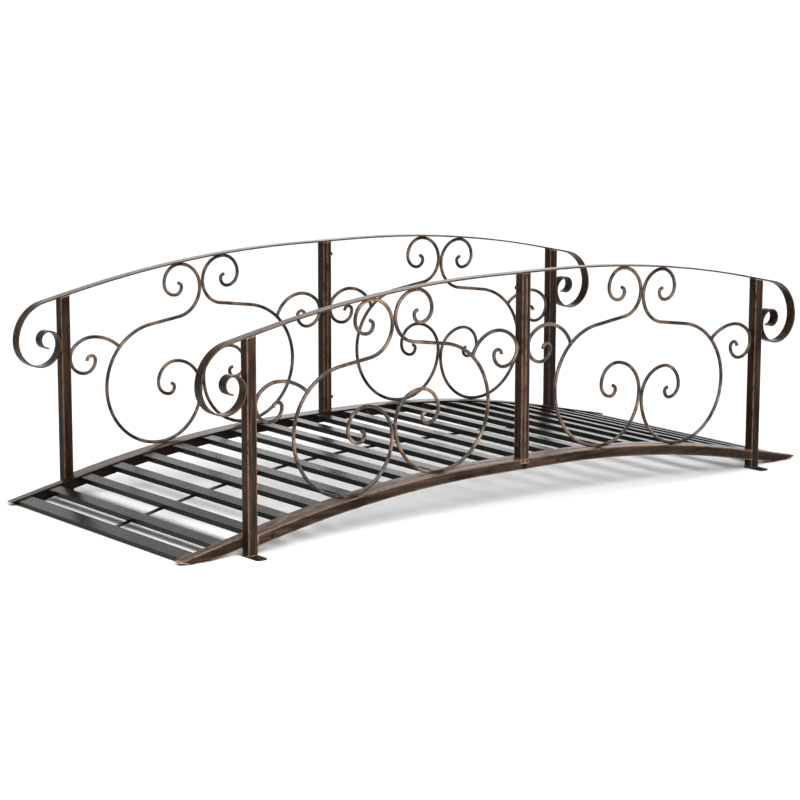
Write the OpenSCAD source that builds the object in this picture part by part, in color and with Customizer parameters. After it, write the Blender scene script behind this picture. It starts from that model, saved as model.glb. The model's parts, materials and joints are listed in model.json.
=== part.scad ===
// Metal garden bridge: an arched slat deck between two scrollwork railings.
// The bridge runs along X and is crossed along X, the railings face -Y and +Y.
// Each half of the bridge mirrors the other, and so do the two railings.

/* [Deck] */
// Length of the deck from tip to tip
bridge_len = 2134; // [1900:1:2400]
// Width over the outer faces of the posts
bridge_w = 914; // [800:1:1100]
// Height of the deck's crest above the ground
deck_h = 138; // [120:1:170]
// Height of the stringer's top at its tip
tip_h = 11; // [8:0.5:14]
// Half of the straight stretch in the middle of the deck's and the handrails' arches
straight_len = 100; // [60:1:150]
// Length over which the arches run straight again before the end posts
run_out = 30; // [10:1:60]
// Width and height of the stringer tube
stringer_w = 28; // [20:0.2:32]
// Length of the bevel under the deck's tip
nose_len = 34; // [20:1:45]
// Height of the blunt edge of a stringer's tip
nose_edge = 4; // [3:0.5:6]
// Slats in each half of the deck
slat_n = 10; // [6:1:12]
// Width of a slat
slat_w = 35; // [24:1:45]
// Thickness of a slat
slat_t = 14; // [10:1:20]
// Drop of the slats below the top of the stringers
slat_drop = 3; // [0:0.5:6]
// Radius of a slat's edges
slat_round = 1.5; // [0.5:0.1:3]
// Width of the slat at each end of the deck
end_slat_w = 44; // [35:1:60]
// Distance of an end slat from the deck's tip
end_slat_in = 14; // [5:1:25]
// Gap between an end slat and the slat next to it
end_gap = 51; // [35:1:65]
// Width of the flat bar under the slats
spine_w = 12; // [8:1:30]
// Thickness of the flat bar under the slats
spine_t = 4; // [3:0.5:6]
// Reach of the flat bar under each end slat
spine_lap = 5; // [2:1:8]

/* [Railing] */
// Height of the handrail's top at the middle
rail_h = 639; // [560:1:760]
// Radius of the handrail's arch, on its centre line
rail_r = 3500; // [2800:10:6000]
// Width of the handrail's flat bar
rail_w = 30; // [25:0.5:40]
// Thickness of the handrail's flat bar
rail_t = 4; // [3:0.5:6]
// Radius of the handrail's edges
rail_round = 1; // [0.5:0.1:1.4]
// Radius of the edges of the square tubes
tube_round = 2; // [1:0.1:4]
// Width of the square post tube
post_w = 28; // [20:0.2:32]
// Distance from the middle to an end post's axis
post_x = 875; // [780:1:930]
// Height of the bottom rail tube
sill_h = 28; // [20:0.2:32]
// Drop of the bottom rail below the top of the stringers
sill_drop = 1; // [0:0.5:4]
// Thickness of a middle post's tab over the bottom rail
tab_t = 1.5; // [1:0.1:3]
// Length of a middle post's tab over the bottom rail
tab_len = 12; // [6:1:18]
// Thickness of a foot plate
foot_t = 3; // [2:0.5:6]
// Width of a foot plate along the bridge
foot_w = 32; // [26:0.5:60]
// Reach of a foot plate beyond its post
foot_reach = 42; // [25:1:70]
// Radius of a foot plate's outer corners
foot_round = 10; // [2:0.5:12]

/* [Handrail volutes] */
// Radius of the bend that leaves the handrail
volute_r1 = 105; // [90:1:125]
// Radius of the bend at the bottom of the volute
volute_r2 = 72; // [62:1:85]
// Radius of the bend that comes back to the post
volute_r3 = 58; // [50:1:70]
// Radius of the inner curl's first bend
volute_r4 = 37; // [30:1:44]
// Radius of the inner curl's last bends
volute_r5 = 23; // [18:1:27]

/* [Scrolls] */
// Diameter of the scroll rod
rod_d = 9.5; // [6:0.1:11]
// Distance of a pair of scrolls from the middle of its panel, toward the middle post
pair_shift = 8; // [0:1:16]
// Radius of the large belly of a scroll
belly_r = 168; // [150:1:185]
// Radius of the bend from the belly up to the other scroll
heel_r = 140; // [120:1:160]
// Slope of the straight stretch above the belly
waist_slope = 8; // [2:0.5:14]
// Largest bend of the curl under the handrail
crown_r = 67; // [58:1:78]
// Smallest bend of the curl under the handrail
crown_end_r = 11; // [8:0.5:16]
// How soon the curl under the handrail tightens, with 1 for an even curl
crown_draw = 1.2; // [1:0.1:2]
// Largest bend of the curl inside the belly
heart_r = 84; // [74:1:95]
// Smallest bend of the curl inside the belly
heart_end_r = 10; // [8:0.5:16]
// How soon the curl inside the belly tightens, with 1 for an even curl
heart_draw = 1.6; // [1:0.1:2]
// Height of an inner side curl's weld above the belly's centre
side_mid_z = 131; // [115:1:145]
// Height of an outer side curl's weld above the belly's centre
side_end_z = 95; // [80:1:110]
// Bend of a side curl over its weld
side_r = 43; // [34:1:52]
// Bend over the top of a side curl
side_top_r = 78; // [66:1:90]
// Bend of an inner side curl's tail
tail_mid_r = 88; // [80:1:110]
// Bend of an outer side curl's tail
tail_end_r = 130; // [115:1:160]
// Bend of a side curl under its weld
side_low_r = 45; // [36:1:54]
// Bend of a side curl between its weld and its eye
side_far_r = 34; // [27:1:41]
// Bend of a side curl's eye
side_eye_r = 13; // [10:0.5:16]

/* [Hidden] */
$fn = 96;
// Facets of the long arches and of rounded edges in a preview
arch_fn = 1440;
edge_fn = 24;
// An edge along a long arch is dressed in three flats
arch_edge_fn = 12;
// Clearance where a rod or a bend lies against another piece
fit = 0.3;
// Half of the seam where the two halves of the bridge meet
seam = 0.2;
// A straight stretch of bar laps over the bends at its ends, and is thicker so that they end inside it
lap = 1;
lap_skin = 0.1;
half_len = bridge_len / 2;
// Lines across the bridge
post_out_y = bridge_w / 2;
post_in_y = post_out_y - post_w;
rail_y = post_out_y - post_w / 2;
deck_in_y = post_in_y - stringer_w;
// Lines along the bridge
post_in_x = post_x - post_w / 2;
post_out_x = post_x + post_w / 2;
end_slat_x = half_len - end_slat_in - end_slat_w;
slat_pitch = (end_slat_x - end_gap - slat_w / 2) / (slat_n - 0.5);
mid_post_w = post_w / 2;
panel_x = (mid_post_w + post_in_x) / 2 - pair_shift;
// Every arch is straight in the middle, bends from straight_len to bend_end_x and is straight beyond
bend_end_x = post_in_x - run_out;
bend_len = bend_end_x - straight_len;
ramp_len = half_len - bend_end_x;
// Deck arch, on the top of the stringers, with the turn that brings its straight ends down to the tips
deck_sag = deck_h - tip_h;
turn_steps = 6;
deck_turn = 2 * half_turn(turn_steps);
deck_r = bend_len / sin(deck_turn);
deck_cz = deck_h - deck_r;
slat_low_r = deck_r - slat_drop - slat_t;
sill_r = deck_r - sill_drop;
sill_top = deck_h - sill_drop + lap_skin / 2;
// Handrail arch, on its centre line
rail_turn = asin(bend_len / rail_r);
rail_cz = rail_h - rail_t / 2 - rail_r;
rail_low_r = rail_r - rail_t / 2;
rail_seat_r = rail_low_r - lap_skin / 2;
// Scroll rods
rod_r = rod_d / 2;
touch = rod_r + fit;
meet = rod_r + fit / 2;
quarter = 90;
// Size of a blank that reaches past every piece it trims
blank = 3 * half_len;

steel = "#3a302a";
worn_steel = "#54443a";
deck_steel = "#3c3c3d";

SIDES = ["front", "back"];
ENDS = ["left", "right"];
END_PARTS = ["slats", "end_slat"];
CORNER_PARTS = [
    "stringer", "end_post", "mid_post", "foot", "handrail", "bottom_rail",
    "inner_scroll", "outer_scroll", "inner_curl", "outer_curl"
];

// Half of the deck's turn, closer to the tips' height with each of n steps
function half_turn(n) = n == 0 ? 0 :
    atan(deck_sag / (bend_len + 2 * ramp_len / (1 - pow(tan(half_turn(n - 1)), 2))));

// Height at x of the bend of an arch, of radius r about a centre at height cz
function arch_z(cz, r, x) = cz + sqrt(r * r - pow(x - straight_len, 2));
// Where the bend of an arch ends, as [x, z]
function bend_end(cz, r, turn) = [straight_len + r * sin(turn), cz + r * cos(turn)];
// Slope and height at x of the deck, on the top of the stringers
function deck_slope(x) = asin(min(max(x - straight_len, 0), bend_len) / deck_r);
function deck_z(x) = deck_cz + deck_r * cos(deck_slope(x)) - max(x - bend_end_x, 0) * tan(deck_turn);

// A pose is [x, z, heading], and a bend is [radius, turn] with a left turn positive
function bend_centre(p, b) = [p[0] - sign(b[1]) * b[0] * sin(p[2]), p[1] + sign(b[1]) * b[0] * cos(p[2])];
function after_bend(c, p, b) = [
    c[0] + sign(b[1]) * b[0] * sin(p[2] + b[1]),
    c[1] - sign(b[1]) * b[0] * cos(p[2] + b[1]),
    p[2] + b[1]
];
function pose_at(p, bends, i) = i == 0 ? p : let (q = pose_at(p, bends, i - 1), b = bends[i - 1])
    after_bend(bend_centre(q, b), q, b);

// Bends of a curl that turns right and tightens over its quarter turns, evenly where draw is 1
function curl_bends(r0, r1, n, draw) =
    [for (i = [0 : n - 1]) [r1 + (r0 - r1) * pow(1 - i / (n - 1), draw), -quarter]];

// One bend of a bar in the railing's plane, with the bar's section as children, that reaches past both ends
module bar_bend(p, b, past = 0, facets = $fn) {
    c = bend_centre(p, b);
    more = past / b[0] * 180 / PI;
    first = b[1] > 0 ? p[2] - 90 : p[2] + 90 + b[1];
    translate([c[0], 0, c[1]]) rotate([90, 0, 0]) rotate(first - more)
        rotate_extrude(angle = abs(b[1]) + 2 * more, $fn = facets) translate([b[0], 0]) children();
}

module bar_path(start, bends) {
    for (i = [0 : len(bends) - 1])
        bar_bend(pose_at(start, bends, i), bends[i]) children();
}

// Section of a bar or a tube, with its edges rounded
module section(w, h, round, facets = edge_fn) {
    square([w - 2 * round, h], center = true);
    square([w, h - 2 * round], center = true);
    for (x = [-1, 1], y = [-1, 1])
        translate([x * (w / 2 - round), y * (h / 2 - round)]) circle(round, $fn = facets);
}

// Bar along an arch about a centre at height cz, from the seam to run beyond its bend, with the section
// of its bend and that of its straight stretches as children
module arched_bar(cz, r, turn, run) {
    finish = bend_end(cz, r, turn);
    bar_bend([straight_len, cz + r, 0], [r, -turn], 0, arch_fn) children(0);
    translate([seam, 0, cz + r]) rotate([0, quarter, 0])
        linear_extrude(straight_len + lap - seam) children(1);
    translate([finish[0], 0, finish[1]]) rotate([0, quarter + turn, 0]) translate([0, 0, -lap])
        linear_extrude(run + lap) children(1);
}

// Tube along the deck's arch, its top at radius r
module deck_tube(r, h, w, run) {
    arched_bar(deck_cz, r - h / 2, deck_turn, run) {
        section(h, w, tube_round, arch_edge_fn);
        section(h + lap_skin, w + lap_skin, tube_round, arch_edge_fn);
    }
}

module rod_path(start, bends) {
    bar_path(start, bends) circle(d = rod_d);
}

// Outline extruded across the bridge from y0 to y1
module across(y0, y1) {
    translate([0, y1, 0]) rotate([90, 0, 0]) linear_extrude(y1 - y0) children();
}

// Ground line with the bevel under the deck's tip
module tip_trim() {
    polygon([
        [0, 0],
        [half_len - nose_len, 0],
        [half_len, tip_h - nose_edge],
        [half_len, blank],
        [0, blank]
    ]);
}

// Sub-parts are modelled at the front right and mirrored to the left and to the back
module at_end(end) {
    mirror([end == "left" ? 1 : 0, 0, 0]) children();
}

module at_corner(side, end) {
    mirror([0, side == "back" ? 1 : 0, 0]) at_end(end) children();
}

module stringer() {
    color(steel) intersection() {
        translate([0, -deck_in_y - stringer_w / 2, 0])
            deck_tube(deck_r, stringer_w, stringer_w, ramp_len + 2 * stringer_w);
        across(-post_in_y, -deck_in_y) tip_trim();
    }
}

// Section of a slat of width w, under the top of the stringers at x
module slat_section(x, w) {
    translate([x, deck_z(x)]) rotate(-deck_slope(x)) translate([0, -slat_drop - slat_t / 2])
        section(w, slat_t, slat_round);
}

module slats() {
    color(deck_steel) across(-deck_in_y, deck_in_y)
    for (i = [0 : slat_n - 1])
        slat_section((i + 0.5) * slat_pitch, slat_w);
}

module end_slat() {
    color(deck_steel) across(-deck_in_y, deck_in_y) intersection() {
        slat_section(end_slat_x + end_slat_w / 2, end_slat_w);
        tip_trim();
    }
}

module spine() {
    skin_t = spine_t + lap_skin;
    color(deck_steel)
    for (end = ENDS)
        at_end(end) intersection() {
            arched_bar(deck_cz, slat_low_r - skin_t / 2, deck_turn, ramp_len) {
                square([spine_t, spine_w], center = true);
                square([skin_t, spine_w + lap_skin], center = true);
            }
            across(-spine_w / 2, spine_w / 2) square([end_slat_x + spine_lap, blank]);
        }
}

// An end post is cut along the underside of the handrail
module end_post() {
    cut = bend_end(rail_cz, rail_seat_r, rail_turn);
    color(worn_steel) difference() {
        translate([post_x, -rail_y, foot_t]) linear_extrude(rail_h) section(post_w, post_w, tube_round);
        translate([cut[0], -blank / 2, cut[1]]) rotate([0, rail_turn, 0]) cube(blank);
    }
}

// Half of a middle post stands on the bottom rail, with a tab down over the rail's face
module mid_post() {
    front = post_out_y + tab_t;
    tab_z = sill_top - tab_len;
    color(worn_steel) difference() {
        translate([(seam + mid_post_w) / 2, -(front + post_in_y) / 2, tab_z])
            linear_extrude(rail_cz + rail_seat_r - tab_z)
            section(mid_post_w - seam, front - post_in_y, tube_round);
        translate([-blank / 2, -post_out_y, sill_top - blank]) cube(blank);
    }
}

module foot() {
    end_y = -post_out_y - foot_reach + foot_round;
    color(worn_steel) translate([post_x, 0, 0]) linear_extrude(foot_t) {
        translate([-foot_w / 2, end_y]) square([foot_w, -post_in_y - end_y]);
        translate([-foot_w / 2 + foot_round, end_y - foot_round])
            square([foot_w - 2 * foot_round, -post_in_y - end_y + foot_round]);
        for (x = [-1, 1])
            translate([x * (foot_w / 2 - foot_round), end_y]) circle(foot_round);
    }
}

module bottom_rail() {
    color(steel) intersection() {
        translate([0, -rail_y, 0]) deck_tube(sill_r, sill_h, post_w, run_out + 2 * sill_h);
        across(-post_out_y, -post_in_y) square([post_in_x, blank]);
    }
}

// Where the handrail's straight end leads into its volute, so that the volute comes back to the post
volute_x = post_out_x + rail_t / 2 + fit + volute_r3 + volute_r2 - volute_r1 * (1 - sin(rail_turn));
volute_lead = volute_x - bend_end_x;

module handrail() {
    finish = bend_end(rail_cz, rail_r, rail_turn);
    start = [volute_x, finish[1] - volute_lead * tan(rail_turn), -rail_turn];
    bends = [
        [volute_r1, rail_turn - quarter],
        [volute_r2, -quarter],
        [volute_r3, -quarter],
        [volute_r4, -quarter],
        [volute_r5, -quarter],
        [volute_r5, -quarter]
    ];
    color(worn_steel) translate([0, -rail_y, 0]) {
        arched_bar(rail_cz, rail_r, rail_turn, volute_lead / cos(rail_turn) + lap) {
            section(rail_t, rail_w, rail_round, arch_edge_fn);
            section(rail_t + lap_skin, rail_w + lap_skin, rail_round, arch_edge_fn);
        }
        bar_path(start, bends) section(rail_t, rail_w, rail_round);
    }
}

// A scroll's belly rests on the bottom rail: side is -1 toward the middle post, 1 toward the end post
function belly_x(side) = panel_x + side * (meet + heel_r);
function belly_rest(side) = side > 0 ? heel_r : belly_r;
function belly_low(side) =
    arch_z(deck_cz, sill_r + touch + belly_rest(side), belly_x(side)) - belly_rest(side);
function belly_z(side) = belly_low(side) + belly_r;
// A scroll's crown lies under the handrail
function crown_x(side) = panel_x + side * (meet + crown_r);
function crown_z(side) = arch_z(rail_cz, rail_low_r - touch - crown_r, crown_x(side));
// Bend below the crown, so that the waist runs straight into the belly at its slope
function hook_r(side) = ((crown_z(side) - belly_z(side)) * cos(waist_slope) - belly_r
    - heel_r * sin(waist_slope)) / (1 - sin(waist_slope));
function waist_len(side) = (heel_r - hook_r(side)) * cos(waist_slope)
    + (crown_z(side) - belly_z(side)) * sin(waist_slope);

// Scrolls and curls are drawn toward the end post from a line at x, and mirrored toward the middle post
module toward(side, x) {
    translate([x, -rail_y, 0]) mirror([side < 0 ? 1 : 0, 0, 0]) children();
}

module scroll(side) {
    sweep = quarter - waist_slope;
    top = [meet, crown_z(side), -quarter];
    hook = [[hook_r(side), sweep]];
    waist = pose_at(top, hook, 1);
    belly = [[belly_r, -quarter], [heel_r, -quarter]];
    shoulder = [meet + heel_r + belly_r, belly_z(side), quarter];
    color(steel) toward(side, panel_x) {
        rod_path([meet, crown_z(side), quarter], curl_bends(crown_r, crown_end_r, 5, crown_draw));
        rod_path(top, hook);
        translate([waist[0], 0, waist[1]]) rotate([0, quarter + waist_slope, 0]) translate([0, 0, -lap])
            cylinder(d = rod_d + lap_skin, h = waist_len(side) + 2 * lap);
        rod_path(shoulder, [[belly_r, sweep]]);
        rod_path([shoulder[0], shoulder[1], -quarter], belly);
        rod_path([meet, belly_low(side) + heel_r, quarter], curl_bends(heart_r, heart_end_r, 5, heart_draw));
    }
}

// A side curl is welded to a post, and its tail ends on the scroll's belly, coped to its round
module side_curl(side, face_x, weld_above, tail_r) {
    weld = [-touch, belly_z(side) + weld_above, quarter];
    belly = [side * (belly_x(side) - face_x), belly_z(side)];
    over = [[side_r, quarter / 2], [side_top_r, quarter / 2]];
    bow = pose_at(weld, over, 1);
    top = pose_at(weld, over, 2);
    to_belly = belly - [top[0], top[1] - tail_r];
    apart = norm(to_belly);
    corner = acos((apart * apart + tail_r * tail_r - belly_r * belly_r) / (2 * apart * tail_r));
    tail = 3 * quarter + atan2(to_belly[1], to_belly[0]) - corner;
    curl = [for (r = [side_low_r, side_far_r, side_eye_r, side_eye_r]) [r, -quarter]];
    color(steel) toward(side, face_x) {
        bar_bend(weld, over[0]) circle(d = rod_d);
        bar_bend(bow, over[1], lap) circle(d = rod_d + lap_skin);
        difference() {
            bar_bend(top, [tail_r, tail]) circle(d = rod_d);
            translate([belly[0], 0, belly[1]]) rotate([90, 0, 0])
                rotate_extrude() translate([belly_r, 0]) circle(touch);
        }
        rod_path([weld[0], weld[1], -quarter], curl);
    }
}

spine();

for (end = ENDS) {
    at_end(end) slats();
    at_end(end) end_slat();
}

for (side = SIDES, end = ENDS) {
    corner = str("_", side, "_", end);
    at_corner(side, end) stringer();
    at_corner(side, end) end_post();
    at_corner(side, end) mid_post();
    at_corner(side, end) foot();
    at_corner(side, end) handrail();
    at_corner(side, end) bottom_rail();
    at_corner(side, end) scroll(-1);
    at_corner(side, end) scroll(1);
    at_corner(side, end) side_curl(-1, mid_post_w, side_mid_z, tail_mid_r);
    at_corner(side, end) side_curl(1, post_in_x, side_end_z, tail_end_r);
}
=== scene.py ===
# %% [markdown]
# A metal garden bridge.
# The bridge is an arched deck of slats between two railings of scrollwork, all welded from steel and coated
# in a dark brown, with copper rubbed over its edges.
# Its tubes, slats, rods and plates come ready made from the construction model, in metres and in place.
# This script gives them their finish, and adds what a welder and a fitter leave on them: beads, bolts and
# nuts.

# %% Load the frame
import json
import math

import bmesh
import bpy
from mathutils import Matrix, Vector, noise
from mathutils.bvhtree import BVHTree


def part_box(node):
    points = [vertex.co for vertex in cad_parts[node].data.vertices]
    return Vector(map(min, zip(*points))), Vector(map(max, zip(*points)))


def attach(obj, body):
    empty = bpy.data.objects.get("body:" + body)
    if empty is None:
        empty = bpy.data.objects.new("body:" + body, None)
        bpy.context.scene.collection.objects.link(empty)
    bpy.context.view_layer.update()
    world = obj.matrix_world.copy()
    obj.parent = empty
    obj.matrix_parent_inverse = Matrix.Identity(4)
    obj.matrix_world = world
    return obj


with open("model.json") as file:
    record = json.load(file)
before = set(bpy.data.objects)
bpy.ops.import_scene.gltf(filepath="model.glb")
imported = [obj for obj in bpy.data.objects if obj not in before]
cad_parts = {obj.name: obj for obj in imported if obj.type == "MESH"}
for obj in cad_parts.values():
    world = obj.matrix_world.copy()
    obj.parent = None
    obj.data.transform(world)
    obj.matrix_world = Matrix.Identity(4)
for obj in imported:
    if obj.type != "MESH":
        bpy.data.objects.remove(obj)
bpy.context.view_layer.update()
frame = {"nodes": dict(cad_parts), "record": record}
SIDES = {"front": -1, "back": 1}
ENDS = {"left": -1, "right": 1}
UP = Vector((0, 0, 1))
ACROSS = Vector((0, 1, 0))
print("pieces in the frame:", len(frame["nodes"]))

# %% [markdown]
# The camera.
# The photograph was taken from the front left, from well above the handrail, with a long lens.
# A long lens keeps the two railings nearly parallel, so the lens matters as much as the place.
# The camera is turned first round its own axis, then tilted down, then turned to its heading.
# A new camera looks straight down, so its tilt is counted from 90 degrees, where it is level.

# %% Set up the camera
CAMERA_PLACE = (-4.222, -5.353, 1.474)
CAMERA_HEADING = 37.83
CAMERA_TILT = -10.34
CAMERA_ROLL = 0.12
CAMERA_LENS = 111.5
CAMERA_REACH = 200


def add_object(name, data):
    """Puts an object with this mesh, camera or light into the scene."""
    made = bpy.data.objects.new(name, data)
    bpy.context.scene.collection.objects.link(made)
    return made


def add_camera():
    camera = add_object("camera", bpy.data.cameras.new("camera"))
    camera.data.lens = CAMERA_LENS
    camera.data.clip_end = CAMERA_REACH
    heading = Matrix.Rotation(-math.radians(CAMERA_HEADING), 4, "Z")
    tilt = Matrix.Rotation(math.radians(90 + CAMERA_TILT), 4, "X")
    roll = Matrix.Rotation(math.radians(CAMERA_ROLL), 4, "Z")
    camera.matrix_world = Matrix.Translation(CAMERA_PLACE) @ heading @ tilt @ roll
    bpy.context.scene.camera = camera


add_camera()
print("camera at", CAMERA_PLACE)

# %% [markdown]
# Materials are graphs of nodes.
# A small class keeps the graphs short: it adds nodes, joins their sockets and does the sums that the finishes
# and the sky share.

# %% Helpers for graphs of nodes
MIX_A, MIX_B, MIX_RESULT = 6, 7, 2


class Graph:
    """A tree of nodes under construction."""

    def __init__(self, tree):
        self.tree = tree

    def node(self, kind, **settings):
        made = self.tree.nodes.new(kind)
        for key, value in settings.items():
            setattr(made, key, value)
        return made

    def feed(self, socket, value):
        """Links a socket to another node's output, or sets it to a number or a colour."""
        if isinstance(value, bpy.types.NodeSocket):
            self.tree.links.new(value, socket)
        else:
            socket.default_value = value

    def span(self, value, low, high, to_low=0.0, to_high=1.0, kind="LINEAR"):
        """Maps a value from one range onto another, and clips what lies outside."""
        made = self.node("ShaderNodeMapRange", clamp=True, interpolation_type=kind)
        self.feed(made.inputs["Value"], value)
        limits = {"From Min": low, "From Max": high, "To Min": to_low, "To Max": to_high}
        for name, limit in limits.items():
            made.inputs[name].default_value = limit
        return made.outputs["Result"]

    def math(self, operation, a, b):
        made = self.node("ShaderNodeMath", operation=operation)
        self.feed(made.inputs[0], a)
        self.feed(made.inputs[1], b)
        return made.outputs[0]

    def product(self, first, *others):
        for other in others:
            first = self.math("MULTIPLY", first, other)
        return first

    def dot(self, a, b):
        made = self.node("ShaderNodeVectorMath", operation="DOT_PRODUCT")
        self.feed(made.inputs[0], a)
        self.feed(made.inputs[1], b)
        return made.outputs["Value"]

    def axis_part(self, vector, axis):
        """Part of a vector along one axis."""
        parts = self.node("ShaderNodeSeparateXYZ")
        self.feed(parts.inputs[0], vector)
        return parts.outputs[axis]

    def mix(self, share, a, b):
        """Colour a with a share of colour b."""
        made = self.node("ShaderNodeMix", data_type="RGBA")
        self.feed(made.inputs["Factor"], share)
        self.feed(made.inputs[MIX_A], a)
        self.feed(made.inputs[MIX_B], b)
        return made.outputs[MIX_RESULT]


print("graph helpers ready")

# %% [markdown]
# A finish is a graph with a shader, and with the patterns that all the coats share.
# Every pattern reads Object coordinates, which are metres on the bridge itself, so it stays put in any view.
# The edges of a piece are found by comparing each point's normal with the normal of a slightly rounded copy
# of the piece: the two part only near an edge.

# %% Helpers for finishes
EDGE_SAMPLES = 6
FACE_MATCH = 0.985
EDGE_MATCH = 0.86


class Finish(Graph):
    """A material under construction, with its node tree and its shader."""

    def __init__(self, name):
        self.material = bpy.data.materials.new(name)
        self.material.use_nodes = True
        super().__init__(self.material.node_tree)
        self.shader = self.tree.nodes["Principled BSDF"]
        self.place = self.node("ShaderNodeTexCoord").outputs["Object"]
        self.normal = self.node("ShaderNodeNewGeometry").outputs["Normal"]

    def surface(self, values):
        """Feeds the shader's sockets by their names."""
        for name, value in values.items():
            self.feed(self.shader.inputs[name], value)

    def noise(self, scale, detail=3.0, rough=0.55, stretch=None):
        """Cloudy pattern with about scale patches to the metre, or scale times stretch along each axis."""
        made = self.node("ShaderNodeTexNoise")
        made.inputs["Scale"].default_value = scale
        made.inputs["Detail"].default_value = detail
        made.inputs["Roughness"].default_value = rough
        place = self.place
        if stretch:
            mapping = self.node("ShaderNodeMapping")
            mapping.inputs["Scale"].default_value = stretch
            self.feed(mapping.inputs["Vector"], place)
            place = mapping.outputs["Vector"]
        self.feed(made.inputs["Vector"], place)
        return made.outputs["Fac"]

    def from_middle(self, axis):
        """Distance from the middle of the bridge along one axis."""
        return self.math("ABSOLUTE", self.axis_part(self.place, axis), 0.0)

    def facing(self, axis):
        """1 where the surface faces either way along an axis, and 0 where it faces square to it."""
        return self.math("ABSOLUTE", self.axis_part(self.normal, axis), 0.0)

    def edges(self, width):
        """1 along the edges of a piece and 0 on its faces, over a band of about that width."""
        bevel = self.node("ShaderNodeBevel", samples=EDGE_SAMPLES)
        bevel.inputs["Radius"].default_value = width
        return self.span(self.dot(bevel.outputs["Normal"], self.normal), FACE_MATCH, EDGE_MATCH)

    def bump(self, height, distance, strength):
        made = self.node("ShaderNodeBump")
        made.inputs["Distance"].default_value = distance
        made.inputs["Strength"].default_value = strength
        self.feed(made.inputs["Height"], height)
        self.surface({"Normal": made.outputs["Normal"]})


print("finish helpers ready")

# %% [markdown]
# The strokes grow on faces that look up: a painted sheen that stands in for the light falling on the tops.
# The coat.
# The steel has a nearly black brown coat, and a copper wax is rubbed over its edges, so the edges are the
# brightest lines on the bridge.
# Noise breaks the copper line up, so that no edge is rubbed evenly, and noise that is stretched along a bar
# gives the strokes of the cloth on its faces.
# The stringers' faces towards the deck and the ends that meet in the middle are left unrubbed.
# The welds are rubbed most of all, because they stand out, and the feet and the bolts hardly at all.

# %% Make the coat of the tubes, posts and rails
SOOT = (0.012, 0.008, 0.006, 1)
UMBER = (0.040, 0.025, 0.016, 1)
BROWN = (0.038, 0.025, 0.018, 1)
DARK_BROWN = (0.032, 0.020, 0.014, 1)
IRON_BLACK = (0.030, 0.028, 0.026, 1)
WELD_BROWN = (0.11, 0.050, 0.028, 1)
COPPER = (0.58, 0.37, 0.24, 1)
ALONG = (0.06, 1, 1)
UPRIGHT = (1, 1, 0.06)
DECK_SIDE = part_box("stringer_back_left")[0].y
JOINT_SIDE = 0.006
RUB_FADE = 0.006
UNRUBBED = (("X", JOINT_SIDE, JOINT_SIDE + RUB_FADE), ("Y", DECK_SIDE, DECK_SIDE + RUB_FADE))
CLOUD_SCALE = 7
CLOUD_RANGE = (0.35, 0.68)
GRAIN_SCALE = 420
GRAIN_RANGE = (0.3, 0.7)
BREAK_SCALE = 38
BREAK_RANGE = (0.26, 0.54)
STROKE_SCALE = 110
STROKE_RANGE = (0.46, 0.72)
# Faces that look up get a painted sheen: the next two numbers set how steeply they must look up and how many
# times more copper strokes they get.
TOP_SHEEN_RANGE = (0.7, 0.95)
TOP_SHEEN = 2.2
SATIN_RANGE = (0.25, 0.75)
SATIN_SPREAD = 0.07
COAT_SPECULAR = 0.1
WAX_METALLIC = 0.35


def rubbed_coat_with_top_sheen(name, umber, strokes, edge_width, edge_rub, face_rub, roughness, dark=()):
    """Dark coat with copper rubbed over its edges, a little over its faces in strokes one way, and more over
    faces that look up as a painted sheen.

    It stays dark near the middle of the bridge, up to the distances that dark gives for each axis.
    """
    finish = Finish(name)
    cloud = finish.span(finish.noise(CLOUD_SCALE, detail=5), *CLOUD_RANGE)
    grain = finish.noise(GRAIN_SCALE, detail=2)
    reach = 1.0
    for axis, low, high in dark:
        reach = finish.product(finish.span(finish.from_middle(axis), low, high), reach)
    base = finish.mix(finish.product(cloud, reach), SOOT, umber)
    broken = finish.span(finish.noise(BREAK_SCALE, detail=4), *BREAK_RANGE)
    edge = finish.product(finish.edges(edge_width), broken, edge_rub)
    strokes_and_top_sheen = finish.span(finish.noise(STROKE_SCALE, detail=4, stretch=strokes), *STROKE_RANGE, 0, face_rub)
    # Painted sheen: faces that look up get more copper strokes, in place of the light that falls on the tops.
    top = finish.span(finish.facing("Z"), *TOP_SHEEN_RANGE, 1, TOP_SHEEN)
    strokes_and_top_sheen = finish.product(strokes_and_top_sheen, finish.span(grain, *GRAIN_RANGE), top)
    # The rub mixes the worn edges and strokes with the painted sheen of the tops.
    rub = finish.product(finish.math("MAXIMUM", edge, strokes_and_top_sheen), reach)
    finish.surface({
        "Base Color": finish.mix(rub, base, COPPER),
        "Metallic": finish.span(rub, 0, 1, 0.0, WAX_METALLIC),
        "Roughness": finish.span(grain, *SATIN_RANGE, roughness - SATIN_SPREAD, roughness + SATIN_SPREAD),
        "Specular IOR Level": COAT_SPECULAR,
    })
    finish.bump(grain, distance=0.0006, strength=0.18)
    return finish.material


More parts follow.
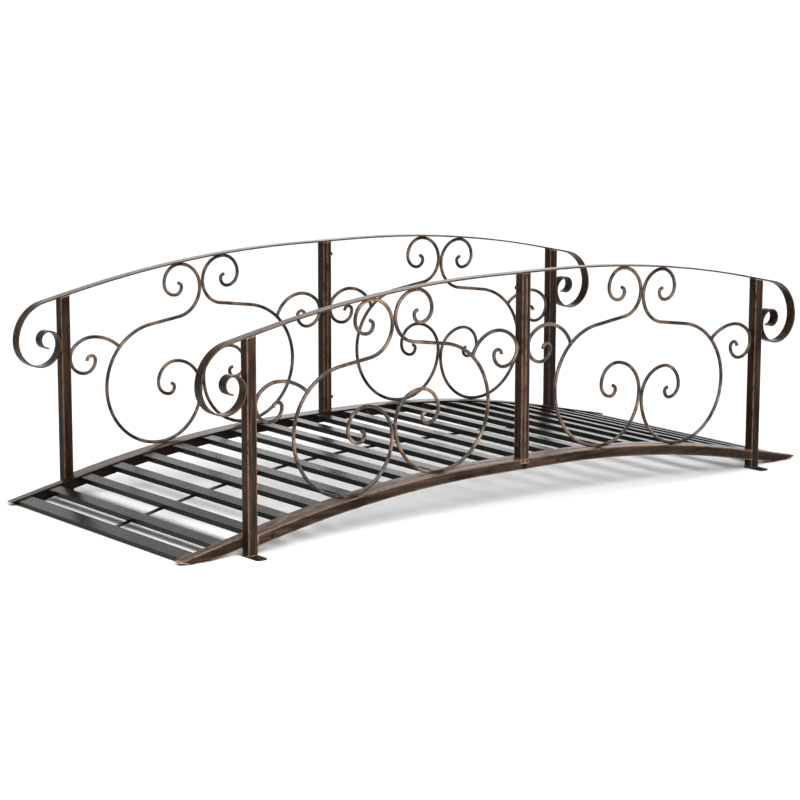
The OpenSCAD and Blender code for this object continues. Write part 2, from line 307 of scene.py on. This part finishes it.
finishes = {
    "frame_steel": rubbed_coat_with_top_sheen(
        "frame_coat", BROWN, ALONG,
        edge_width=0.0060, edge_rub=1.0, face_rub=0.15, roughness=0.30, dark=UNRUBBED,
    ),
    "post_steel": rubbed_coat_with_top_sheen(
        "post_coat", DARK_BROWN, UPRIGHT, edge_width=0.0055, edge_rub=1.0, face_rub=0.14, roughness=0.32
    ),
    "rail_steel": rubbed_coat_with_top_sheen(
        "rail_coat", UMBER, ALONG, edge_width=0.0025, edge_rub=0.8, face_rub=0.14, roughness=0.30
    ),
}
black_coat = rubbed_coat_with_top_sheen(
    "black_coat", IRON_BLACK, UPRIGHT, edge_width=0.0010, edge_rub=0.15, face_rub=0.04, roughness=0.26
)
weld_coat = rubbed_coat_with_top_sheen(
    "weld_coat", WELD_BROWN, ALONG, edge_width=0.0015, edge_rub=0.5, face_rub=0.9, roughness=0.36
)
print("coats:", sorted(finishes))

# %% [markdown]
# The scroll rods.
# A round rod has no edges to rub, so its copper lies in streaks along the sides that face out of the railing.
# The normal's part across the bridge tells those sides from the ones that face along the railing.

# %% Make the coat of the scroll rods
ROD_CLOUD_SCALE = 9
ROD_CLOUD_RANGE = (0.35, 0.65, 0, 0.7)
ROD_GRAIN_SCALE = 500
ROD_GRAIN_RANGE = (0.2, 0.7, 0.15, 0.50)
OUTWARD_RANGE = (0.25, 0.95, 0.25, 1.0)
STREAK_SCALE = 21
STREAK_RANGE = (0.46, 0.70)
ROD_METALLIC = 0.5
ROD_ROUGHNESS = (0.22, 0.34)


def rod_coat(name):
    finish = Finish(name)
    cloud = finish.span(finish.noise(ROD_CLOUD_SCALE, detail=4), *ROD_CLOUD_RANGE)
    grain = finish.noise(ROD_GRAIN_SCALE, detail=2)
    outward = finish.span(finish.facing("Y"), *OUTWARD_RANGE)
    streak = finish.span(finish.noise(STREAK_SCALE, detail=5, rough=0.6), *STREAK_RANGE)
    rub = finish.product(outward, streak, finish.span(grain, *ROD_GRAIN_RANGE))
    finish.surface({
        "Base Color": finish.mix(rub, finish.mix(cloud, SOOT, UMBER), COPPER),
        "Metallic": finish.span(rub, 0, 1, 0.0, ROD_METALLIC),
        "Roughness": finish.span(grain, *SATIN_RANGE, *ROD_ROUGHNESS),
    })
    finish.bump(grain, distance=0.0004, strength=0.15)
    return finish.material


finishes["scroll_steel"] = rod_coat("rod_coat")
print("coat of the rods made")

# %% [markdown]
# The deck.
# The slats are satin black, without copper, and look grey where they reflect the light from far away.
# Their ends get some of the brown that is sprayed over the stringers, and their edges are scuffed to grey.

# %% Make the coat of the deck
SATIN_BLACK = (0.010, 0.0095, 0.0085, 1)
SCUFF_GREY = (0.085, 0.080, 0.075, 1)
OVERSPRAY = (0.075, 0.046, 0.032, 1)
OVERSPRAY_REACH = 0.045
OVERSPRAY_SCALE = 30
OVERSPRAY_RANGE = (0.35, 0.65)
DECK_GRAIN_SCALE = 380
DRIFT_SCALE = 5
DRIFT_STRETCH = (1, 6, 1)
DRIFT_RANGE = (0.4, 0.7, 0, 0.12)
SCUFF_WIDTH = 0.0025
SCUFF_SCALE = 45
SCUFF_RANGE = (0.4, 0.62, 0, 0.6)
DECK_ROUGHNESS = (0.24, 0.30)
DECK_SPECULAR = 0.12


def deck_coat(name):
    finish = Finish(name)
    deck_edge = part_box("slats_left")[1].y
    grain = finish.noise(DECK_GRAIN_SCALE, detail=2)
    drift = finish.span(finish.noise(DRIFT_SCALE, detail=5, stretch=DRIFT_STRETCH), *DRIFT_RANGE)
    near_end = finish.span(finish.from_middle("Y"), deck_edge - OVERSPRAY_REACH, deck_edge)
    patches = finish.span(finish.noise(OVERSPRAY_SCALE, detail=4), *OVERSPRAY_RANGE)
    scuff = finish.product(finish.edges(SCUFF_WIDTH), finish.span(finish.noise(SCUFF_SCALE), *SCUFF_RANGE))
    base = finish.mix(drift, SATIN_BLACK, SCUFF_GREY)
    base = finish.mix(finish.product(near_end, patches), base, OVERSPRAY)
    finish.surface({
        "Base Color": finish.mix(scuff, base, SCUFF_GREY),
        "Roughness": finish.span(grain, *SATIN_RANGE, *DECK_ROUGHNESS),
        "Specular IOR Level": DECK_SPECULAR,
    })
    finish.bump(grain, distance=0.0005, strength=0.06)
    return finish.material


finishes["deck_steel"] = deck_coat("deck_coat")
print("coat of the deck made")

# %% [markdown]
# Each piece of the frame names the finish it takes.
# The pieces keep their shape and place, and only their material changes.
# The feet stand on the ground, where nobody rubs them, so they stay black.

# %% Give the frame its finishes
for part in frame["record"]["subparts"]:
    unrubbed = part["node"].startswith("foot")
    for slot in frame["nodes"][part["node"]].material_slots:
        slot.material = black_coat if unrubbed else finishes[part["material_slot"]]

# %% [markdown]
# Welds.
# The scrolls touch the rails, the posts and each other at single points, and a short bead on each side of
# the railing holds them there.
# The points aren't typed in: each piece's corners are compared with the surface of its neighbour, and the
# corners that all but touch it are gathered into one place.

# %% Find where two pieces touch
TOUCH_GAP = 0.0012
TOUCH_SPREAD = 0.03


def surface_of(name):
    mesh = frame["nodes"][name].data
    return BVHTree.FromPolygons([v.co for v in mesh.vertices], [p.vertices for p in mesh.polygons])


def touches(name, other):
    """Places where one piece touches another, each with the direction that the other one faces there."""
    surface = surface_of(other)
    found = []
    for corner in frame["nodes"][name].data.vertices:
        place, facing, _, gap = surface.find_nearest(corner.co, TOUCH_GAP)
        if place is None:
            continue
        weight = (1 - gap / TOUCH_GAP) ** 2
        for group in found:
            if (group["first"] - place).length < TOUCH_SPREAD:
                break
        else:
            group = {"first": place.copy(), "sum": Vector(), "facing": Vector(), "weight": 0.0}
            found.append(group)
        group["sum"] += weight * (corner.co + place) / 2
        group["facing"] += weight * facing
        group["weight"] += weight
    return [(g["sum"] / g["weight"], g["facing"].normalized()) for g in found if g["weight"] > 0]


print("touches of a scroll and its handrail:", len(touches("inner_scroll_front_left", "handrail_front_left")))

# %% [markdown]
# A bead is a row of drops that froze one behind the other.
# It starts as a sphere whose rings are spread along the seam, and each ring is then swollen or narrowed: a
# wave gives the ripples, and noise gives the uneven hand of the welder.
# The rings near the ends are swollen too, so that the bead ends bluntly.

# %% Make beads
BEAD_SIDES = 8
FEWEST_RINGS = 8
RING_STEP = 0.0009
RIPPLE = 0.0026
RIPPLE_DEPTH = 0.10
RIPPLE_SLANT = 2
LUMP_DEPTH = 0.45
LUMP_SHIFT = 450
LUMP_SCALE = 300
TIP_SHARE = 0.02
BLUNTNESS = 0.2


def add_bead(shape, start, end, radius):
    """Adds a rippled bead that runs from start to end."""
    run = end - start
    rings = max(FEWEST_RINGS, round(run.length / RING_STEP))
    ball = bmesh.ops.create_uvsphere(shape, u_segments=BEAD_SIDES, v_segments=rings, radius=1)["verts"]
    turn = run.to_track_quat("Z", "Y").to_matrix()
    middle = (start + end) / 2
    for corner in ball:
        along = corner.co.z * (run.length / 2 + radius / 2)
        waist = max(1 - corner.co.z ** 2, TIP_SHARE)
        wave = 1 + RIPPLE_DEPTH * math.sin(math.tau * along / RIPPLE + RIPPLE_SLANT * corner.co.x)
        lump_place = LUMP_SHIFT * middle + LUMP_SCALE * Vector((0, 0, along)) + corner.co
        lump = 1 + LUMP_DEPTH * noise.noise(lump_place)
        wide = radius * wave * lump * waist ** -BLUNTNESS
        corner.co = middle + turn @ Vector((corner.co.x * wide, corner.co.y * wide, along))


def outward_mesh(name, shape):
    """Makes a bmesh into a mesh whose faces all look outwards."""
    bmesh.ops.recalc_face_normals(shape, faces=shape.faces)
    mesh = bpy.data.meshes.new(name)
    shape.to_mesh(mesh)
    shape.free()
    return mesh


def finished_piece(name, shape, coat):
    """Makes a bmesh into a smooth piece that rides on the bridge."""
    for face in shape.faces:
        face.smooth = True
    mesh = outward_mesh(name, shape)
    mesh.materials.append(coat)
    piece = add_object(name, mesh)
    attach(piece, "root")
    return piece


def weld_piece(name, coat, beads):
    """Turns a list of beads, each with its two ends and its radius, into one piece of the bridge."""
    shape = bmesh.new()
    for start, end, radius in beads:
        add_bead(shape, start, end, radius)
    finished_piece(name, shape, coat)


print("bead helpers ready")

# %% [markdown]
# The welds of the scrollwork.
# Each touch gets a bead on the face towards the garden and one on the face towards the deck.
# A bead lies along the rod, so its direction is square to the way the neighbour faces and to the way across
# the railing.

# %% Weld the scrollwork
ROD_RADIUS = (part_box("inner_curl_front_left")[1].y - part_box("inner_curl_front_left")[0].y) / 2
SCROLL_BEAD = 0.0023
SCROLL_BEAD_RUN = 0.007
SCROLL_BEAD_OUT = 0.6 * ROD_RADIUS
SCROLL_JOINS = [
    ("inner_scroll", "handrail"), ("outer_scroll", "handrail"),
    ("inner_scroll", "bottom_rail"), ("outer_scroll", "bottom_rail"),
    ("inner_scroll", "outer_scroll"),
    ("inner_curl", "mid_post"), ("outer_curl", "end_post"),
    ("inner_curl", "inner_scroll"), ("outer_curl", "outer_scroll"),
]


def scroll_beads(side, end):
    beads = []
    middle = sum(corner.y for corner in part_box(f"inner_scroll_{side}_{end}")) / 2
    for name, other in SCROLL_JOINS:
        for place, facing in touches(f"{name}_{side}_{end}", f"{other}_{side}_{end}"):
            along = facing.cross(ACROSS).normalized() * SCROLL_BEAD_RUN / 2
            for face in (-1, 1):
                spot = Vector((place.x, middle + face * SCROLL_BEAD_OUT, place.z))
                beads.append((spot - along, spot + along, SCROLL_BEAD))
    return beads


for side in SIDES:
    beads = [bead for end in ENDS for bead in scroll_beads(side, end)]
    weld_piece(f"scroll_welds_{side}", weld_coat, beads)
    print("beads on the", side, "scrollwork:", len(beads))

# %% [markdown]
# The welds of the posts.
# Tubes and plates meet along lines, so their seams are straight beads: under the handrail on both sides of
# each post, where a bottom rail ends on a post or passes under one, and round the foot of each end post.
# A ray that is cast straight up or down gives the height of the arched bars at a seam.

# %% Weld the posts
FRAME_BEAD = 0.0020
RAIL_END_BEAD = 0.8 * FRAME_BEAD
SEAM_END = 0.002
RAIL_INSET = 2 * SEAM_END
HANDRAIL_DROP = 0.03
GROUND = 0
OVERHEAD = 1


def height_at(surface, x, y, start, direction):
    """Height at which a ray from the height of its start meets a surface."""
    return surface.ray_cast(Vector((x, y, start)), direction)[0].z


def across_bead(x, z, low_y, high_y):
    return Vector((x, low_y + SEAM_END, z)), Vector((x, high_y - SEAM_END, z)), FRAME_BEAD


def post_beads(side, end):
    """Beads of an end post: under the handrail, on the foot plate and at the end of the bottom rail."""
    corner = f"{side}_{end}"
    low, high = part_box(f"end_post_{corner}")
    handrail = surface_of(f"handrail_{corner}")
    rail = surface_of(f"bottom_rail_{corner}")
    out_y = low.y if side == "front" else high.y
    in_x = high.x if end == "left" else low.x
    beads = []
    for x in (low.x, high.x):
        under = height_at(handrail, x, (low.y + high.y) / 2, high.z - HANDRAIL_DROP, UP)
        beads += [across_bead(x, z, low.y, high.y) for z in (low.z, under)]
    foot = (Vector((low.x + SEAM_END, out_y, low.z)), Vector((high.x - SEAM_END, out_y, low.z)), FRAME_BEAD)
    rail_x = in_x - ENDS[end] * SEAM_END
    rail_y = out_y - SIDES[side] * RAIL_INSET
    bottom = height_at(rail, rail_x, rail_y, GROUND, UP)
    top = height_at(rail, rail_x, rail_y, OVERHEAD, -UP)
    seam = (Vector((in_x, out_y, bottom + SEAM_END)), Vector((in_x, out_y, top - SEAM_END)), RAIL_END_BEAD)
    return beads + [foot, seam, across_bead(in_x, top, low.y, high.y)]


def middle_post_beads(side, end):
    """Beads of half a middle post: on the bottom rail and under the handrail."""
    low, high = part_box(f"mid_post_{side}_{end}")
    rail_low, rail_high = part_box(f"bottom_rail_{side}_{end}")
    x = low.x if end == "left" else high.x
    return [across_bead(x, z, rail_low.y, rail_high.y) for z in (rail_high.z, high.z)]


for side in SIDES:
    beads = [bead for end in ENDS for bead in post_beads(side, end) + middle_post_beads(side, end)]
    weld_piece(f"frame_welds_{side}", weld_coat, beads)
    print("beads on the", side, "posts:", len(beads))

# %% [markdown]
# The welds of the slats.
# They lie under the ends of the slats, where they don't show from above.
# The slats of half a deck come as one piece, so its corners are sorted along the bridge, and each wide gap
# between two corners starts another slat.
# The slats at the tips of the deck are so near the ground that no bead has room under them.

# %% Weld the slats
SLAT_BEAD_RUN = 0.020
SLAT_GAP = 0.05
INSIDE_SLAT = 0.998
UNDERGROUND = -1


def slat_middles(name):
    """Where each slat of a node lies along the bridge: corners that lie close together belong to one slat."""
    places = sorted(corner.co.x for corner in frame["nodes"][name].data.vertices)
    gaps = [(a, b) for a, b in zip(places, places[1:]) if b - a > SLAT_GAP]
    starts = [places[0]] + [b for a, b in gaps]
    ends = [a for a, b in gaps] + [places[-1]]
    return [(a + b) / 2 for a, b in zip(starts, ends)]


def slat_beads(name):
    surface = surface_of(name)
    low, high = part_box(name)
    beads = []
    for middle in slat_middles(name):
        for y in (low.y, high.y):
            inside = y * INSIDE_SLAT
            ends = [middle - SLAT_BEAD_RUN / 2, middle + SLAT_BEAD_RUN / 2]
            start, end = [Vector((x, y, height_at(surface, x, inside, UNDERGROUND, UP))) for x in ends]
            beads.append((start, end, FRAME_BEAD))
    return beads


beads = [bead for end in ENDS for bead in slat_beads(f"slats_{end}")]
weld_piece("slat_welds", finishes["deck_steel"], beads)
print("beads under the slats:", len(beads))

# %% [markdown]
# Bolts.
# Two bolts along the bridge join the halves of each middle post, and bolts across it hold the bottom rails to
# the stringers.
# A bolt's head is domed, so it is turned: a few points are spun round its axis, together with its washer.
# Its nut is a six-sided disc that is extruded and bevelled, with a turned cap over the bolt's end.
# Bolts go on after the copper is rubbed, so they stay black.

# %% Make the two ends of a bolt
HEAD_RADIUS = 0.0062
HEAD_HEIGHT = 0.0042
WASHER_RADIUS = 0.0080
WASHER_HEIGHT = 0.0014
NUT_SIDES = 6
NUT_RADIUS = 0.0066
NUT_HEIGHT = 0.0060
CAP_RADIUS = 0.0052
CAP_HEIGHT = 0.0072
DOME_ANGLES = (90, 70, 50, 30, 12, 0)
TURN_STEPS = 20
SOFT_EDGE = 0.0004
MERGE_GAP = SOFT_EDGE / 10
SUNK = 0.0004


def turn_profile(shape, profile):
    """Spins a profile of radius and height round the Z axis, from the axis back to the axis."""
    corners = [shape.verts.new((radius, 0, height)) for radius, height in profile]
    edges = [shape.edges.new(pair) for pair in zip(corners, corners[1:])]
    bmesh.ops.spin(
        shape, geom=corners + edges, cent=(0, 0, 0), axis=UP, angle=math.tau, steps=TURN_STEPS, use_merge=True
    )
    bmesh.ops.remove_doubles(shape, verts=shape.verts, dist=MERGE_GAP)


def washer_profile():
    return [
        (WASHER_RADIUS - SOFT_EDGE, WASHER_HEIGHT), (WASHER_RADIUS, WASHER_HEIGHT - SOFT_EDGE),
        (WASHER_RADIUS, -SUNK), (0, -SUNK),
    ]


def dome_profile(radius, height, base):
    turns = [math.radians(angle) for angle in DOME_ANGLES]
    return [(radius * math.cos(turn), base + height * math.sin(turn)) for turn in turns]


def head_pattern():
    shape = bmesh.new()
    turn_profile(shape, dome_profile(HEAD_RADIUS, HEAD_HEIGHT, WASHER_HEIGHT) + washer_profile())
    return outward_mesh("bolt_head", shape)


def nut_pattern():
    shape = bmesh.new()
    bmesh.ops.create_circle(shape, cap_ends=True, segments=NUT_SIDES, radius=NUT_RADIUS)
    raised = bmesh.ops.extrude_face_region(shape, geom=shape.faces[:])["geom"]
    raised = [item for item in raised if isinstance(item, bmesh.types.BMVert)]
    bmesh.ops.translate(shape, vec=UP * NUT_HEIGHT, verts=raised)
    bmesh.ops.translate(shape, vec=UP * WASHER_HEIGHT, verts=shape.verts)
    bmesh.ops.bevel(
        shape, geom=shape.edges, offset=SOFT_EDGE, affect="EDGES", segments=2, profile=0.5, material=-1
    )
    cap = dome_profile(CAP_RADIUS, CAP_HEIGHT, WASHER_HEIGHT + NUT_HEIGHT)
    turn_profile(shape, cap + [(CAP_RADIUS, WASHER_HEIGHT)] + washer_profile())
    return outward_mesh("bolt_nut", shape)


HEAD = head_pattern()
NUT = nut_pattern()
print("faces of a head and a nut:", len(HEAD.polygons), len(NUT.polygons))

# %% [markdown]
# The bolts go where the photograph shows them.
# Along the bridge they sit near the top and near the foot of the middle posts, and across it they sit near
# the middle posts and near the end posts, halfway up the bottom rail.
# The nuts of the middle posts lie on the left in front and on the right at the back.

# %% Set the bolts
POST_BOLT_HEIGHTS = (0.174, 0.597)
RAIL_BOLT_PLACES = (0.120, 0.815)


def stamp(shape, pattern, place, facing):
    """Adds a copy of a pattern, with its axis turned to the way that the steel faces."""
    first = len(shape.verts)
    shape.from_mesh(pattern)
    shape.verts.ensure_lookup_table()
    turn = facing.to_track_quat("Z", "Y").to_matrix().to_4x4()
    bmesh.ops.transform(shape, matrix=Matrix.Translation(place) @ turn, verts=shape.verts[first:])


def add_bolt(shape, head_place, nut_place):
    facing = (head_place - nut_place).normalized()
    stamp(shape, HEAD, head_place, facing)
    stamp(shape, NUT, nut_place, -facing)


def post_bolts(shape, side):
    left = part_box(f"mid_post_{side}_left")[0].x
    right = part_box(f"mid_post_{side}_right")[1].x
    rail_y = sum(corner.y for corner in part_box(f"bottom_rail_{side}_left")) / 2
    for z in POST_BOLT_HEIGHTS:
        ends = [Vector((left, rail_y, z)), Vector((right, rail_y, z))]
        add_bolt(shape, *ends[::SIDES[side]])


def rail_bolts(shape, side, end):
    low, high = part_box(f"bottom_rail_{side}_{end}")
    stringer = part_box(f"stringer_{side}_{end}")
    outer_y, inner_y = (low.y, stringer[1].y) if side == "front" else (high.y, stringer[0].y)
    middle_y = (low.y + high.y) / 2
    rail = surface_of(f"bottom_rail_{side}_{end}")
    for place in RAIL_BOLT_PLACES:
        x = ENDS[end] * place
        bottom = height_at(rail, x, middle_y, GROUND, UP)
        top = height_at(rail, x, middle_y, OVERHEAD, -UP)
        z = (bottom + top) / 2
        add_bolt(shape, Vector((x, outer_y, z)), Vector((x, inner_y, z)))


for side in SIDES:
    shape = bmesh.new()
    post_bolts(shape, side)
    for end in ENDS:
        rail_bolts(shape, side, end)
    bolts = finished_piece(f"bolts_{side}", shape, black_coat)
    print("faces of the", side, "bolts:", len(bolts.data.polygons))

# %% [markdown]
# The floor.
# It is a wide pale disc, so that its rim stays out of sight.

# %% Lay the floor
FLOOR_RADIUS = 120
FLOOR_SIDES = 96
FLOOR_WHITE = (0.86, 0.86, 0.86, 1)
FLOOR_ROUGHNESS = 0.9
FLOOR_GRAIN_SCALE = 200


def add_floor():
    mesh = bpy.data.meshes.new("floor")
    shape = bmesh.new()
    bmesh.ops.create_circle(shape, cap_ends=True, segments=FLOOR_SIDES, radius=FLOOR_RADIUS)
    shape.to_mesh(mesh)
    shape.free()
    floor = add_object("floor", mesh)
    finish = Finish("floor_paper")
    finish.surface({"Base Color": FLOOR_WHITE, "Roughness": FLOOR_ROUGHNESS})
    finish.bump(finish.noise(FLOOR_GRAIN_SCALE), distance=0.0005, strength=0.1)
    mesh.materials.append(finish.material)


add_floor()
print("floor laid, with a radius of", FLOOR_RADIUS, "m")

# %% [markdown]
# The sky.
# The steel is dark and satin, so what it reflects matters more than what falls on it: a low bright wall of
# light beyond the far right end is mirrored by the slats, and the sky is dim on the left, which keeps the
# posts' left faces dark.
# The wall fades towards its sides, its top and its foot, and the three fades are multiplied.

# %% Make the sky
WALL_LIGHT = 2.1
SKY_LIGHT = 0.38
SKY_WHITE = (1, 1, 1, 1)
WALL_WAY = (0.62, 0.78, 0)
WALL_SIDES = (0.2, 0.7, 0, 1)
WALL_TOP = (0.44, 0.39, 0, 1)
WALL_FOOT = (0.0, 0.18, 0.45, 1)


def add_sky():
    """Dim sky with a bright wall of light that stands beyond the far right end of the bridge."""
    world = bpy.data.worlds.new("sky")
    world.use_nodes = True
    sky = Graph(world.node_tree)
    way = sky.node("ShaderNodeTexCoord").outputs["Generated"]
    toward = sky.dot(way, WALL_WAY)
    height = sky.axis_part(way, "Z")
    fades = ((toward, WALL_SIDES), (height, WALL_TOP), (height, WALL_FOOT))
    share = sky.product(*[sky.span(value, *limits, kind="SMOOTHSTEP") for value, limits in fades])
    background = sky.tree.nodes["Background"].inputs
    sky.feed(background["Strength"], sky.span(share, 0, 1, SKY_LIGHT, WALL_LIGHT))
    sky.feed(background["Color"], SKY_WHITE)
    bpy.context.scene.world = world


add_sky()
print("sky made, with a wall of light of strength", WALL_LIGHT)

# %% [markdown]
# The lamps.
# A broad soft sun and a softbox in front light the faces of the railing, and a weak sun overhead lights the
# floor.
# The picture gets a little more contrast than usual, as pictures for a catalogue do.

# %% Light the scene
MIDDLE = (0, 0, 0)
SUN_PLACE = (0.3, -2.0, 2.2)
SUN_LIGHT = 1.0
SUN_ANGLE = 30
TOP_PLACE = (0, 0, 3)
TOP_LIGHT = 0.9
TOP_ANGLE = 50
SOFTBOX_PLACE = (-1.0, -2.4, 1.4)
SOFTBOX_AIM = (-0.9, -0.4, 0.3)
SOFTBOX_LIGHT = 62
SOFTBOX_SIZE = 1.2


def add_light(name, kind, place, aim, energy):
    """Adds a lamp that shines from its place towards its aim."""
    lamp = add_object(name, bpy.data.lights.new(name, kind))
    lamp.data.energy = energy
    lamp.location = place
    lamp.rotation_euler = (Vector(aim) - Vector(place)).to_track_quat("-Z", "Y").to_euler()
    return lamp.data


add_light("sun", "SUN", SUN_PLACE, MIDDLE, SUN_LIGHT).angle = math.radians(SUN_ANGLE)
add_light("top", "SUN", TOP_PLACE, MIDDLE, TOP_LIGHT).angle = math.radians(TOP_ANGLE)
add_light("softbox", "AREA", SOFTBOX_PLACE, SOFTBOX_AIM, SOFTBOX_LIGHT).size = SOFTBOX_SIZE
bpy.context.scene.view_settings.view_transform = "Standard"
bpy.context.scene.view_settings.look = "Medium High Contrast"
print("lamps set:", len(bpy.data.lights))
